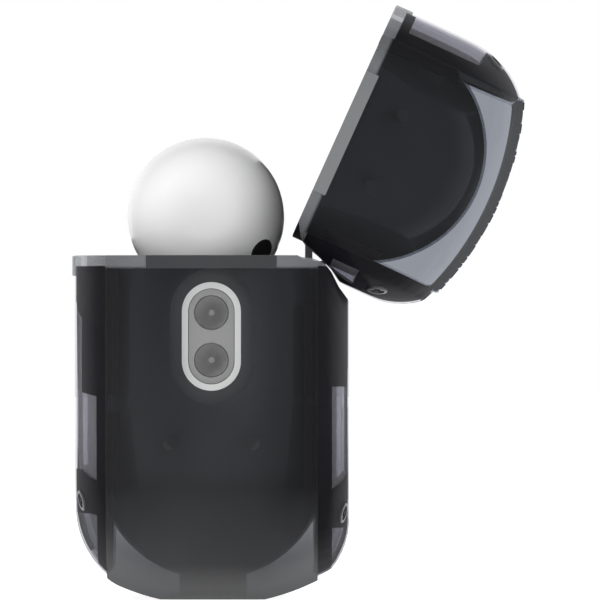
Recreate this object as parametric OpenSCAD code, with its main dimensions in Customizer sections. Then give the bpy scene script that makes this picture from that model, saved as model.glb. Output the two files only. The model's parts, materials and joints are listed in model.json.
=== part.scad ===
// Hinged charging case for two stem-type earbuds, inside a two-part smoked-clear protective cover.
// Millimetres, +Z up, front towards -Y, hinge at +Y, lanyard end at +X.
// The origin is the middle of the cover's flat underside. The lid is drawn open.

/* [Protective cover] */
// Length of the cover from end to end
cover_l = 65; // [64.6:0.1:66]
// Thickness of the cover from front to back
cover_w = 26.2; // [26:0.1:27]
// Height of the seam between cover body and cover lid
seam_z = 33; // [32.5:0.1:33.5]
// Height of the cover lid above the seam
cover_lid_h = 16.95; // [16.8:0.05:17.5]
// Half the width of the clear band between the front and back panels
band_y = 10.1; // [9.8:0.1:10.3]
// Depth from the outer surface to the shell under the panels
panel_depth = 1.2; // [1.1:0.05:1.3]
// Thickness of the clear panels
panel_t = 0.7; // [0.6:0.05:0.75]

/* [Charging case] */
// Length of the case
case_l = 60.6; // [60:0.1:60.8]
// Thickness of the case from front to back
case_w = 21.7; // [21.4:0.1:21.8]
// Height of the case
case_h = 45.2; // [45:0.1:45.3]
// Height of the case's underside above the origin
case_z = 2.2; // [2.1:0.1:2.4]
// Wall thickness of the case shells
case_wall = 1.2; // [1:0.1:1.3]

/* [Hinge] */
// Distance of the hinge pin behind the middle
pivot_y = 9.84; // [9.8:0.01:9.9]
// Height of the hinge pin above the seam
pivot_n = 2.07; // [2:0.01:2.15]
// Angle that the lid opens to
open_deg = 114.3; // [60:0.1:114.3]
// Radius of the hinge knuckles
knuckle_r = 0.95; // [0.8:0.05:0.95]
// Radius of the hinge pin
pin_r = 0.45; // [0.35:0.05:0.5]

/* [Earbuds] */
// Distance of each earbud from the middle
bud_x = 14.5; // [14:0.1:15]
// Radius of the earbud's head
bud_r = 7.5; // [7:0.1:7.5]
// Height of the head's middle above the seam
bud_n = 3.8; // [3.5:0.1:4]
// Radius of the earbud's stem
stem_r = 2.9; // [2.6:0.1:3]
// Depth of the stem's end below the seam
stem_depth = 19.6; // [19:0.1:20]

/* [Lanyard loop] */
// Radius of the two round holes
loop_hole_r = 1.65; // [1.4:0.05:1.8]
// Distance between the two holes
loop_pitch = 4.5; // [4.3:0.05:4.6]
// Height of the loop's middle
loop_z = 25.3; // [25:0.1:25.6]

/* [Hidden] */
$fn = 96;

gap = 0.05;            // between pieces that touch in one body
seam_gap = 0.15;       // between the closed lid halves and the lower halves
case_gap = 0.25;       // between the case and the cover around it
front_r = 21.3;        // corner radius of the cover in the front view
lid_front_r = 20;      // the same for the lid
body_side_r = [9.4, 8.4]; // bottom corner radii of the body in the end view, front and back
lid_side_r = [8.2, 7]; // top corner radii of the lid in the end view, front and back
belly_r = 22.5;        // radius of the body's underside in the end view
belly_z = 21.94;       // height of its centre, which leaves a flat 10 mm wide
crown_r = 28.8;        // radius of the lid's crown in the end view
case_r = 19;           // corner radius of the case in the front view
cavity_floor = 2;      // height of the cover's floor
rim_h = 1;             // clear rim above the body's panels
lid_rim_h = 1.35;      // clear rim below the lid's panels
swing_r = 2.65;        // radius of the relief round the hinge pin
case_swing_r = 2.95;   // the same in the case's own wall
screw_r = 1;           // radius of the decorative screws
screw_turn = 21;       // how far round the corner the screws sit, in degrees
pivot_z = seam_z + pivot_n;
case_top = case_z + case_h;
cover_top = seam_z + cover_lid_h;
bud_y = -0.64;
button_z = 14;
button_r = 3.5;

// ---- helpers ----

// Extrudes an end view, drawn as Y and Z, along X
module along_x(l) rotate([90, 0, 90]) linear_extrude(l, center = true) children();

// Extrudes a front view, drawn as X and Z, along Y
module along_y(w) rotate([90, 0, 0]) linear_extrude(w, center = true) children();

// A rod along X from x0 to x1
module rod_x(x0, x1, r) translate([x0, 0, 0]) rotate([0, 90, 0]) cylinder(r = r, h = x1 - x0);

// A rod along Y from y0 to y1
module rod_y(y0, y1, r) translate([0, y1, 0]) rotate([90, 0, 0]) cylinder(r = r, h = y1 - y0);

// A box between two corners
module span(a, b) translate(a) cube(b - a);

// What a rounded corner at p leaves out. s points from the corner into the shape.
module corner_waste(p, s, r)
    translate(p) mirror([s.x < 0 ? 1 : 0, 0]) mirror([0, s.y < 0 ? 1 : 0])
        difference() {
            translate([-1, -1]) square(r + 1);
            translate([r, r]) circle(r);
        }

// A slot with round ends, w across and h high in all
module obround(w, h) {
    r = min(w, h) / 2;
    square([w > h ? w - 2 * r : w, h > w ? h - 2 * r : h], center = true);
    for (s = [-1, 1])
        translate(w > h ? [s * (w / 2 - r), 0] : [0, s * (h / 2 - r)]) circle(r);
}

module at_loop(y = 0) translate([0, y, loop_z]) children();

module both_ends() {
    children();
    mirror([1, 0, 0]) children();
}

module lid_pose() translate([0, pivot_y, pivot_z]) rotate([-open_deg, 0, 0])
    translate([0, -pivot_y, -pivot_z]) children();

// ---- outer forms; i is how far the surface lies inside the outside ----

// Plan of the cover or the case: a bar with round ends
module plan(l, w, z0, z1) translate([0, 0, z0]) linear_extrude(z1 - z0) obround(l, w);

// The body's rounding starts a little below the underside, which is then cut flat
module cover_body_form(i) intersection() {
    along_x(cover_l + 2) intersection() {
        difference() {
            translate([-cover_w / 2 + i, i - 0.2]) square([cover_w - 2 * i, seam_z - i + 0.2]);
            corner_waste([-cover_w / 2 + i, i - 0.2], [1, 1], body_side_r[0] - i);
            corner_waste([cover_w / 2 - i, i - 0.2], [-1, 1], body_side_r[1] - i);
        }
        translate([0, belly_z]) circle(belly_r - i);
    }
    along_y(cover_w + 2) difference() {
        translate([-cover_l / 2 + i, i - 0.3]) square([cover_l - 2 * i, seam_z + 1]);
        corner_waste([-cover_l / 2 + i, i - 0.3], [1, 1], front_r - i);
        corner_waste([cover_l / 2 - i, i - 0.3], [-1, 1], front_r - i);
    }
    plan(cover_l - 2 * i, cover_w - 2 * i, i, seam_z + 1);
}

module cover_lid_form(i) intersection() {
    along_x(cover_l + 2) intersection() {
        difference() {
            translate([-cover_w / 2 + i, seam_z + seam_gap])
                square([cover_w - 2 * i, cover_lid_h - i - seam_gap]);
            corner_waste([-cover_w / 2 + i, cover_top - i], [1, -1], lid_side_r[0] - i);
            corner_waste([cover_w / 2 - i, cover_top - i], [-1, -1], lid_side_r[1] - i);
        }
        translate([0, cover_top - crown_r]) circle(crown_r - i);
    }
    along_y(cover_w + 2) difference() {
        translate([-cover_l / 2 + i, seam_z - 1]) square([cover_l - 2 * i, cover_lid_h + 2]);
        corner_waste([-cover_l / 2 + i, cover_top - i], [1, -1], lid_front_r - i);
        corner_waste([cover_l / 2 - i, cover_top - i], [-1, -1], lid_front_r - i);
    }
    plan(cover_l - 2 * i, cover_w - 2 * i, seam_z - 1, cover_top + 1);
}

// The case from z0 to z1, drawn larger than the case by a negative i
module case_form(i, z0, z1) intersection() {
    along_x(case_l + 2) intersection() {
        translate([0, case_z + case_h / 2]) obround(case_w - 2 * i, case_h - 2 * i);
        translate([-case_w, z0]) square([2 * case_w, z1 - z0]);
    }
    along_y(case_w + 2) difference() {
        translate([-case_l / 2 + i, case_z + i - 0.5]) square([case_l - 2 * i, case_h - 2 * i + 1]);
        for (s = [-1, 1]) {
            corner_waste([s * (case_l / 2 - i), case_z + i], [-s, 1], case_r - i);
            corner_waste([s * (case_l / 2 - i), case_top - i], [-s, -1], case_r - i);
        }
    }
    plan(case_l - 2 * i, case_w - 2 * i, case_z - 1, case_top + 1);
}

// The hollow in the cover that the case sits in
module cover_hollow() intersection() {
    w = case_w + 2 * case_gap;
    l = case_l + 2 * case_gap;
    ceiling = case_top + case_gap;
    along_x(cover_l) difference() {
        translate([-w / 2, cavity_floor]) square([w, ceiling - cavity_floor]);
        for (s = [-1, 1]) {
            corner_waste([s * w / 2, cavity_floor], [-s, 1], 8);
            corner_waste([s * w / 2, ceiling], [-s, -1], 8);
        }
    }
    along_y(cover_w) difference() {
        translate([-l / 2, cavity_floor - 0.5]) square([l, ceiling - cavity_floor + 1]);
        for (s = [-1, 1]) {
            corner_waste([s * l / 2, cavity_floor], [-s, 1], case_r);
            corner_waste([s * l / 2, ceiling], [-s, -1], case_r);
        }
    }
    plan(l, w, 0, cover_top);
}

// Keeps what lies in front of the clear band, or behind it with side = 1
module panel_side(side, z0, z1)
    translate([-cover_l, side > 0 ? band_y : -cover_w, z0])
        cube([2 * cover_l, cover_w - band_y, z1 - z0]);

// The notch between body and lid behind the hinge, cut from the body
module body_back_relief() along_x(cover_l + 4)
    translate([0, seam_z]) polygon([[8.17, 1], [8.17, -0.1], [9.64, -0.3], [10.4, -0.6], [10.9, -0.95],
        [11.4, -1.6], [12.1, -3], [13.2, -4.5], [15, -4.5], [15, 1]]);

// The same notch, cut from the closed lid
module lid_back_relief() along_x(cover_l + 4)
    translate([0, seam_z]) polygon([[9.3, -1], [9.3, 0.1], [10.67, 0.93], [11.1, 1.66], [11.6, 3.35],
        [12.2, 4.9], [12.95, 6.1], [13.3, 8], [15, 8], [15, -1]]);

// Room round the hinge axis for the lid to swing
module hinge_swing(r = swing_r) translate([0, pivot_y, pivot_z]) rod_x(-cover_l, cover_l, r);

// The window in the cover's end round the lanyard loop
module loop_window() translate([cover_l / 2, 0, 0]) at_loop(0.1) along_x(8) obround(8, 12.9);

module button_hole(r) translate([0, 0, button_z]) rod_y(8, cover_w, r);

module port_hole(w, h) translate([0, 0, -1]) linear_extrude(8) obround(w, h);

// ---- screws ----

// Places its children at a screw's seat on the front panel, pointing out along -Y
module screw_seats(z) for (s = [0, 1]) mirror([s, 0, 0])
    translate([(cover_l - cover_w) / 2, 0, z]) rotate([0, 0, screw_turn]) children();

// Screw holes through panel and trim
module screw_holes(z) screw_seats(z) rod_y(-cover_w, -11, screw_r + 0.08);

// Decorative screws with cross recesses; top is how far the head's top is from the seat's centre
module screws(z, top) screw_seats(z) difference() {
    rod_y(-top, -12, screw_r);
    for (a = [45, 135])
        translate([0, -top, 0]) rotate([0, a, 0]) cube([1.4, 0.6, 0.32], center = true);
}

// ---- cover body ----

module cover_body_shell() color([0.2, 0.2, 0.22, 0.5]) difference() {
    union() {
        cover_body_form(panel_depth);
        intersection() {
            cover_body_form(0);
            union() {
                span([-cover_l, -band_y + gap, -1], [cover_l, band_y - gap, seam_z]);
                span([-cover_l, -cover_w, seam_z - rim_h], [cover_l, cover_w, seam_z]);
            }
        }
        finger_lip(seam_z - 1.93, seam_z, seam_z - rim_h, seam_z);
    }
    cover_hollow();
    plan(case_l + 2 * case_gap, case_w + 2 * case_gap, 25, seam_z + 1);
    body_back_relief();
    hinge_swing();
    loop_window();
    button_hole(4.5);
    port_hole(13, 6.5);
    both_ends() seam_pad(seam_z - 1.25, seam_z + 1, gap);
    both_ends() body_dots(gap);
}

// A thin finger lip from z0 to z1, held by the clear rim between r0 and r1 and clear of the front panel
module finger_lip(z0, z1, r0, r1) {
    front = -cover_w / 2;
    span([-9, front - 0.4, z0], [9, front - gap, z1]);
    span([-9, front - 0.4, r0], [9, front + 0.3, r1]);
}

// A strip let into the end of the cover, 0.6 deep; grow makes its seat
module seam_pad(z0, z1, grow) difference() {
    intersection() {
        plan(cover_l + 4 * grow, cover_w + 4 * grow, z0 - grow, z1 + grow);
        span([20, -6.2 - grow, 0], [cover_l, 6.2 + grow, cover_top]);
    }
    plan(cover_l - 1.2 - 2 * grow, cover_w - 1.2 - 2 * grow, 0, cover_top);
}

// Rods that the spacer dots are cut from, at the body's ends
module body_dots(grow) for (y = [-4, 4])
    translate([0, y, 15.1]) rod_x(27, 31 + grow, 0.6 + grow);

module body_plate(side, i0, i1, cut = 0) intersection() {
    difference() {
        translate([0, 0, 0.35]) cover_body_form(i0);
        translate([0, 0, 0.35 - cut]) cover_body_form(i1);
    }
    panel_side(side, 0, seam_z - rim_h - gap);
}

module body_front_panel() color([0.45, 0.45, 0.47, 0.4]) difference() {
    body_plate(-1, 0, panel_t);
    screw_holes(9.9);
}

module body_back_panel() color([0.45, 0.45, 0.47, 0.4]) difference() {
    body_plate(1, 0, panel_t);
    mirror([0, 1, 0]) screw_holes(8.9);
    button_hole(4.5);
    body_back_relief();
}

// Keeps what lies beyond y on the front (side -1) or the back (side 1), so that a printed border stays
module beyond(side, y) intersection() {
    children();
    translate([-cover_l, side > 0 ? y : -y - cover_w, 0]) cube([2 * cover_l, cover_w, 2 * cover_top]);
}

// Clear windows in the black print of the front panel
module front_windows() beyond(-1, 10.95) along_y(60) {
    for (s = [-1, 1])
        polygon([[s * 22.8, 27], [s * 22.8, 20], [s * 30, 19.1], [s * 30, 9.2], [s * 21, 12.6], [s * 9, 12.6],
            [s * 5, 15.5], [s * 5, 19.5], [s * 9, 22], [s * 17, 30]]);
    polygon([[-30, 6.9], [-20.5, 8.4], [-10, 8.4], [-6, 4.6], [6, 4.6], [10, 8.4], [20.5, 8.4], [30, 6.9],
        [30, 1.8], [-30, 1.8]]);
}

// Clear windows in the black print of the back panel
module back_windows() beyond(1, 11.45) along_y(60) {
    for (s = [-1, 1]) {
        polygon([[s * 20.5, 22.2], [s * 20.5, 20.5], [s * 30, 20.5], [s * 30, 8], [s * 19.5, 12], [s * 14, 12],
            [s * 8, 16], [s * 8, 19], [s * 12, 22.2]]);
        polygon([[s * 30, 5.2], [s * 21.5, 7], [s * 11, 7], [s * 8, 4.4], [s * 19, 1.8], [s * 30, 1.8]]);
    }
    polygon([[-12, 27.5], [12, 27.5], [8.5, 23.5], [-8.5, 23.5]]);
}

module body_front_trim() color([0.11, 0.11, 0.13]) difference() {
    body_plate(-1, panel_t + gap, panel_depth - gap, 0.35);
    screw_holes(9.9);
    front_windows();
}

module body_back_trim() color([0.11, 0.11, 0.13]) difference() {
    body_plate(1, panel_t + gap, panel_depth - gap, 0.35);
    mirror([0, 1, 0]) screw_holes(8.9);
    back_windows();
    button_hole(4.5);
    body_back_relief();
}

module body_front_screws() color("dimgray") screws(9.9, 12.95);
module body_back_screws() color("dimgray") mirror([0, 1, 0]) screws(8.9, 12.95);

module body_seam_pads() color([0.35, 0.35, 0.37]) both_ends() seam_pad(seam_z - 1.25, seam_z - 0.02, 0);

module body_spacer_dots() color([0.3, 0.3, 0.3]) both_ends() difference() {
    body_dots(0);
    cover_hollow();
}

// ---- cover lid, drawn closed and turned by lid_pose ----

module lid_dots(grow) for (y = [-3.9, 3.6])
    translate([0, y, seam_z + 5]) rod_x(25, 29.6 + grow, 0.6 + grow);

module strip_zone(grow) span([-14 - grow, -band_y + gap - grow, seam_z + 10], [14 + grow, band_y - gap + grow,
    cover_top + 1]);

module cover_lid_closed() difference() {
    union() {
        cover_lid_form(panel_depth);
        intersection() {
            cover_lid_form(0);
            union() {
                span([-cover_l, -band_y + gap, seam_z], [cover_l, band_y - gap, cover_top + 1]);
                span([-cover_l, -cover_w, seam_z], [cover_l, cover_w, seam_z + lid_rim_h]);
            }
        }
        finger_lip(seam_z + seam_gap, seam_z + 1.93, seam_z + seam_gap, seam_z + lid_rim_h);
    }
    cover_hollow();
    lid_back_relief();
    span([-9.4, 10.9, seam_z], [9.4, 12, seam_z + 3.5]);
    difference() {
        strip_zone(gap);
        cover_lid_form(0.8);
    }
    both_ends() seam_pad(seam_z - 1, seam_z + 1.45, gap);
    both_ends() lid_dots(gap);
}

module cover_lid_shell() color([0.2, 0.2, 0.22, 0.5]) lid_pose() cover_lid_closed();

module lid_plate(side, i0, i1, cut = 0) intersection() {
    difference() {
        translate([0, 0, -0.4]) cover_lid_form(i0);
        translate([0, 0, -0.4 + cut]) cover_lid_form(i1);
    }
    panel_side(side, seam_z + lid_rim_h + gap, cover_top);
}

module lid_front_panel() color([0.45, 0.45, 0.47, 0.4]) lid_pose() difference() {
    lid_plate(-1, 0, panel_t);
    screw_holes(seam_z + 11.1);
}

module lid_back_panel() color([0.45, 0.45, 0.47, 0.4]) lid_pose() difference() {
    lid_plate(1, 0, panel_t);
    mirror([0, 1, 0]) screw_holes(seam_z + 9.7);
    lid_back_relief();
}

module lid_front_windows() beyond(-1, 11.2) along_y(60) translate([0, seam_z])
    polygon([[-30, 2.35], [-30, 7.6], [-20, 9.9], [-10, 9.9], [-7, 12], [7, 12], [10, 9.9], [20, 9.9],
        [30, 7.6], [30, 2.35]]);

module lid_back_windows() beyond(1, 11.3) along_y(60) translate([0, seam_z]) {
    for (s = [-1, 1]) {
        polygon([[s * 30, 7.4], [s * 19, 7.4], [s * 22.5, 4.6], [s * 30, 4.6]]);
        polygon([[s * 30, 11.2], [s * 20, 11.2], [s * 12, 14], [s * 30, 14]]);
    }
    polygon([[-9, 9.5], [9, 9.5], [6, 7.2], [-6, 7.2]]);
}

module lid_front_trim() color([0.11, 0.11, 0.13]) lid_pose() difference() {
    lid_plate(-1, panel_t + gap, panel_depth - gap, 0.4);
    screw_holes(seam_z + 11.1);
    lid_front_windows();
}

module lid_back_trim() color([0.11, 0.11, 0.13]) lid_pose() difference() {
    lid_plate(1, panel_t + gap, panel_depth - gap, 0.4);
    mirror([0, 1, 0]) screw_holes(seam_z + 9.7);
    lid_back_windows();
    lid_back_relief();
}

module lid_front_screws() color("dimgray") lid_pose() screws(seam_z + 11.1, 12.6);
module lid_back_screws() color("dimgray") lid_pose() mirror([0, 1, 0]) screws(seam_z + 9.7, 12.6);

module lid_seam_pads() color([0.45, 0.45, 0.45]) lid_pose() both_ends()
    seam_pad(seam_z + seam_gap + 0.02, seam_z + 1.45, 0);

module lid_spacer_dots() color([0.3, 0.3, 0.3]) lid_pose() both_ends() difference() {
    lid_dots(0);
    cover_hollow();
}

module lid_top_strip() color([0.12, 0.16, 0.26]) lid_pose() intersection() {
    difference() {
        cover_lid_form(0);
        cover_lid_form(0.75);
    }
    strip_zone(0);
}

// ---- charging case ----

module case_body_shell() color([0.22, 0.22, 0.23]) difference() {
    case_form(0, case_z, seam_z);
    case_form(case_wall, case_z, seam_z + 1);
    hinge_swing(case_swing_r);
    port_hole(9.1, 3.3);
    at_loop() translate([case_l / 2, 0, 0]) along_x(6) obround(5.7, 10.4);
    translate([0, 0, button_z]) rod_y(8, case_w, button_r + 0.1);
    translate([0, 0, 22]) rod_y(-case_w, -8, 0.8);
    for (s = [-1, 1]) translate([s * 6.65, 0, 0]) span([-2.7, 9, seam_z - 1.5], [2.7, 11.2, seam_z + 1]);
}

module bud_wells() for (s = [-1, 1]) {
    translate([s * bud_x, bud_y, seam_z + bud_n]) {
        rod_x(-6.1, 6.1, bud_r + 0.4);
        rod_x(s > 0 ? -11.7 : 0, s > 0 ? 0 : 11.7, 6.5);
    }
    translate([s * bud_x, bud_y, seam_z - stem_depth - 0.7]) cylinder(r = stem_r + 0.3, h = 30);
}

module case_cradle() color([0.12, 0.12, 0.13]) difference() {
    union() {
        case_form(case_wall + 0.4, 25, seam_z - 0.7);
        intersection() {
            case_form(case_wall + 0.4, 11.6, 25.5);
            span([-30, -7.6, 11.6], [24, 7.6, 25.5]);
        }
    }
    bud_wells();
    hinge_swing();
    span([-9.9, -5.1, 11], [9.9, 5.1, 28.3]);
    at_loop() translate([case_l / 2 - 3, 0, 0]) along_x(7.4) obround(6.4, 11.2);
    magnet_bars(seam_z - 2.9, seam_z - 1.1, gap);
    span([-10, 8.4, 22], [10, 12, seam_z]);
    for (s = [-1, 1]) for (dx = [-1.4, 1.4])
        translate([s * bud_x + dx, bud_y, 11]) cylinder(r = 0.55, h = 3);
}

module magnet_bars(z0, z1, grow) both_ends()
    span([21 - grow, -6.6 - grow, z0 - grow], [25 + grow, -5 + grow, z1 + grow]);

module battery_cell() color("silver") span([-9.6, -4.8, 13], [9.6, 4.8, 28]);

module main_board() color("darkgreen") span([-22, -6, 10.1], [22, 6, 11]);

module charge_port() color("silver") translate([0, 0, case_z]) linear_extrude(7.4) difference() {
    obround(9, 3.2);
    obround(8.34, 2.56);
}

module port_tongue() color([0.1, 0.1, 0.1]) union() {
    span([-3.3, -0.35, case_z + 1], [3.3, 0.35, case_z + 6.9]);
    translate([0, 0, case_z + 6.9]) linear_extrude(0.5) obround(8.2, 2.4);
}

module case_speaker() color([0.15, 0.15, 0.15]) translate([14, 0, 5.8]) cylinder(r = 3, h = 2.8);

module charge_coil() color("peru") translate([0, -8.4, 17.8]) rotate([90, 0, 0]) difference() {
    cylinder(r = 6.8, h = 0.8);
    translate([0, 0, -1]) cylinder(r = 3.4, h = 3);
}

module lanyard_ring() color([0.75, 0.75, 0.75]) intersection() {
    case_form(0, case_z, seam_z);
    at_loop() translate([case_l / 2 - 0.3, 0, 0]) along_x(3.2) difference() {
        obround(5.6, 10.3);
        obround(4.4, 9.1);
    }
}

module lanyard_plate() color([0.6, 0.6, 0.6]) difference() {
    at_loop() translate([29.2, 0, 0]) along_x(1.2) obround(4.3, 9);
    for (s = [-1, 1]) at_loop() translate([0, 0, s * loop_pitch / 2]) rod_x(25, 32, loop_hole_r);
}

module lanyard_pocket() color([0.15, 0.15, 0.15]) at_loop() difference() {
    translate([26.2, 0, 0]) along_x(4.2) obround(5.6, 10.3);
    translate([26.8, 0, 0]) along_x(4.2) obround(4.4, 9.1);
}

module charging_contacts() color("gold") for (s = [-1, 1]) for (dx = [-1.4, 1.4])
    translate([s * bud_x + dx, bud_y, 11.6]) cylinder(r = 0.5, h = 1.4);

module status_lens() color("white") translate([0, 0, 22]) rod_y(-case_w / 2 + 0.05, -case_w / 2 + 1.2, 0.75);

module case_magnets() color("gray") magnet_bars(seam_z - 2.9, seam_z - 1.1, 0);

module button_switch() color([0.2, 0.2, 0.2]) union() {
    span([-2, 7.8, button_z - 2], [2, 8.9, button_z + 2]);
    translate([0, 0, button_z]) rod_y(8.9, 9.35, 1.2);
}

module setup_button() color([0.25, 0.25, 0.26]) translate([0, 0, button_z])
    rod_y(case_w / 2 - 1.1, case_w / 2 - 0.1, button_r);

module hinge_leaf_body() color("lightgray") difference() {
    union() {
        for (s = [-1, 1]) translate([s * 6.65, 0, 0]) {
            translate([0, pivot_y, pivot_z]) rod_x(-2.35, 2.35, knuckle_r);
            span([-2.35, pivot_y - knuckle_r, seam_z - 3], [2.35, 9.6, pivot_z]);
        }
        span([-9, pivot_y - knuckle_r, seam_z - 7], [9, 9.6, seam_z - 1.2]);
    }
    translate([0, pivot_y, pivot_z]) rod_x(-20, 20, pin_r);
}

module hinge_pin() color("white") translate([0, pivot_y, pivot_z]) rod_x(-9.2, 9.2, pin_r - 0.02);

// ---- case lid, drawn closed and turned by lid_pose ----

module case_lid_shell() color([0.22, 0.22, 0.23]) lid_pose() difference() {
    case_form(0, seam_z + seam_gap, case_top);
    case_form(case_wall, seam_z - 1, case_top);
    span([-9.4, 8, seam_z - 1], [9.4, 12, pivot_z + 1.4]);
}

module case_lid_liner() color([0.15, 0.15, 0.16]) lid_pose() difference() {
    union() {
        difference() {
            case_form(case_wall + gap, seam_z + 0.4, case_top);
            case_form(case_wall + gap + 0.6, seam_z - 1, case_top);
        }
        intersection() {
            case_form(case_wall + gap, seam_z + 0.4, case_top);
            both_ends() span([20.8, -10, seam_z + 0.4], [25.6, -4.6, seam_z + 3.2]);
        }
    }
    magnet_bars(seam_z + 0.9, seam_z + 2.7, gap);
    span([-9.5, 7.9, seam_z - 1], [9.5, 12, pivot_z + 7]);
}

module lid_magnets() color("gray") lid_pose() magnet_bars(seam_z + 0.9, seam_z + 2.7, 0);

module hinge_leaf_lid() color("lightgray") lid_pose() difference() {
    union() {
        translate([0, pivot_y, pivot_z]) rod_x(-4.1, 4.1, knuckle_r);
        span([-4.1, pivot_y - knuckle_r, pivot_z], [4.1, 9.5, pivot_z + 2.5]);
        intersection() {
            span([-8.8, pivot_y - 1.5, pivot_z + 2], [8.8, 9.5, pivot_z + 4.4]);
            case_form(case_wall + gap, seam_z, case_top);
        }
    }
    translate([0, pivot_y, pivot_z]) rod_x(-20, 20, pin_r + 0.05);
}

// ---- earbuds; s = 1 for the right one, at +X ----

module at_bud(s) mirror([s < 0 ? 1 : 0, 0, 0]) translate([bud_x, bud_y, seam_z + bud_n]) children();

// Where the vent lies on the rounded edge of the head
module at_vent() rotate([-32.8, 0, 0]) translate([0, 2, 0]) rotate([0, 0, -35.7]) translate([0, 5.5, 0]) children();

module bud_head(s) color("white") at_bud(s) difference() {
    rotate([0, 90, 0]) rotate_extrude() {
        translate([2, 0]) intersection() {
            circle(5.5);
            translate([0, -6]) square([6, 12]);
        }
        translate([0, -5.5]) square([2, 11]);
    }
    at_vent() rod_y(-0.5, 2, 1.35);
    rod_x(-6, -4.6, 2.6);
    translate([0, 0, -9]) cylinder(r = stem_r + gap, h = 3.5);
}

module bud_stem(s) color("white") at_bud(s) difference() {
    translate([0, 0, -bud_n - stem_depth]) cylinder(r = stem_r, h = bud_n + stem_depth - 5.55);
    translate([0, 0, -bud_n - stem_depth - 1]) cylinder(r = 2.35, h = 1.6);
    translate([0, 0, -16]) rod_x(2.5, 4, 1.05);
}

module ear_tip(s) color([0.9, 0.9, 0.9]) at_bud(s) rotate([0, -90, 0]) rotate_extrude() {
    translate([1.5, 4.65]) square([1, 4.8]);
    difference() {
        intersection() {
            translate([0, 4.2]) circle(6.1);
            translate([1.5, 5.6]) square([6, 6]);
        }
        translate([0, 4.2]) circle(5.2);
    }
}

module vent_mesh(s) color([0.05, 0.05, 0.05]) at_bud(s) at_vent() rod_y(-0.45, -0.05, 1.3);

module stem_contact(s) color("silver") at_bud(s) translate([0, 0, -bud_n - stem_depth])
    difference() {
        cylinder(r = 2.3, h = 0.55);
        translate([0, 0, -1]) cylinder(r = 1.1, h = 3);
    }

module mic_grille(s) color([0.1, 0.1, 0.1]) at_bud(s) translate([0, 0, -16]) rod_x(2.55, 2.8, 1);

// ---- what is drawn ----

cover_body_shell();
body_front_panel();
body_front_trim();
body_back_panel();
body_back_trim();
body_front_screws();
body_back_screws();
body_seam_pads();
body_spacer_dots();
cover_lid_shell();
lid_front_panel();
lid_front_trim();
lid_back_panel();
lid_back_trim();
lid_front_screws();
lid_back_screws();
lid_seam_pads();
lid_spacer_dots();
lid_top_strip();
case_body_shell();
case_cradle();
battery_cell();
main_board();
charge_port();
port_tongue();
case_speaker();
charge_coil();
lanyard_ring();
lanyard_plate();
lanyard_pocket();
charging_contacts();
status_lens();
case_magnets();
button_switch();
hinge_leaf_body();
hinge_pin();
setup_button();
case_lid_shell();
case_lid_liner();
lid_magnets();
hinge_leaf_lid();
for (bud = [["left", -1], ["right", 1]]) {
    bud_head(bud[1]);
    bud_stem(bud[1]);
    ear_tip(bud[1]);
    vent_mesh(bud[1]);
    stem_contact(bud[1]);
    mic_grille(bud[1]);
}
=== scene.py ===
import json
import math
import random

import bmesh
import bpy
from mathutils import Matrix, Vector

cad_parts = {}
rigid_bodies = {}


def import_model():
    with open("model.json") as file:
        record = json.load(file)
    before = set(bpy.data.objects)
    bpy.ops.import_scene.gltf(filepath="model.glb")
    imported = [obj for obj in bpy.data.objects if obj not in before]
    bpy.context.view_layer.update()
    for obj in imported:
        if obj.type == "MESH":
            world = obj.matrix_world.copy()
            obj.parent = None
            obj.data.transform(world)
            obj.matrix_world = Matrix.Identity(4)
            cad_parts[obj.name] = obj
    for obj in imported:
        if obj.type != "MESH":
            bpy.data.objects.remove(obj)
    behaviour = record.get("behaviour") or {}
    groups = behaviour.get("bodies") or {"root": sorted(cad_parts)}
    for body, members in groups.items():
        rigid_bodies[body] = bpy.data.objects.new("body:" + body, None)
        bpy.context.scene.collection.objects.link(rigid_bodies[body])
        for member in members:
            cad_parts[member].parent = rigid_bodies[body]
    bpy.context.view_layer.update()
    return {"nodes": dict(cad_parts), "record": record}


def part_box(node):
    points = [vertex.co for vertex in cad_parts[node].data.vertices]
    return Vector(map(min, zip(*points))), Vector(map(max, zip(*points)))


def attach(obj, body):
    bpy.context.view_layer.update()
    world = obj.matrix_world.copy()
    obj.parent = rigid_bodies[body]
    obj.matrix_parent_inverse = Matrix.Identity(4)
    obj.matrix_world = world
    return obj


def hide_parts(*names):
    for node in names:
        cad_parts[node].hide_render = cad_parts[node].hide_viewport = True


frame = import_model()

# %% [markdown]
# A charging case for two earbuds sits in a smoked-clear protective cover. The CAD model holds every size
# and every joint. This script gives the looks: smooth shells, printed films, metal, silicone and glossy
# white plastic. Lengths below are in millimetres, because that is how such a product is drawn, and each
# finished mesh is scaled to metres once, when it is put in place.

MM = 0.001
RECORD = frame["record"]
random.seed(7)


def size_of(node):
    """Lowest and highest corner of a CAD node, in millimetres."""
    low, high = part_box(node)
    return Vector(low) / MM, Vector(high) / MM


HALF_LENGTH = size_of("cover_body_shell")[1].x
SEAM = size_of("cover_body_shell")[1].z
CASE_HALF_LENGTH = size_of("case_body_shell")[1].x
CASE_HALF_WIDTH = size_of("case_body_shell")[1].y
CASE_BASE = size_of("case_body_shell")[0].z
COVER_HALF_WIDTH = 13.1
LID_TOP = SEAM + 16.95
CASE_TOP = CASE_BASE + 45.2
SEAM_GAP = 0.15
BAND = 10.1           # the clear band reaches this far to the front and back
PANEL_DEPTH = 1.2
CASE_GAP = 0.25
CASE_WALL = 1.2
BEYOND = 40           # a cutter that runs right through the object ends this far from the middle
print("cover half length", round(HALF_LENGTH, 2), "seam at", round(SEAM, 2))

# %% [markdown]
# The lid is drawn closed, as a maker would draw it, and then turned open about the hinge pin. The hinge's
# place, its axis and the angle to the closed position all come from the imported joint.

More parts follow.
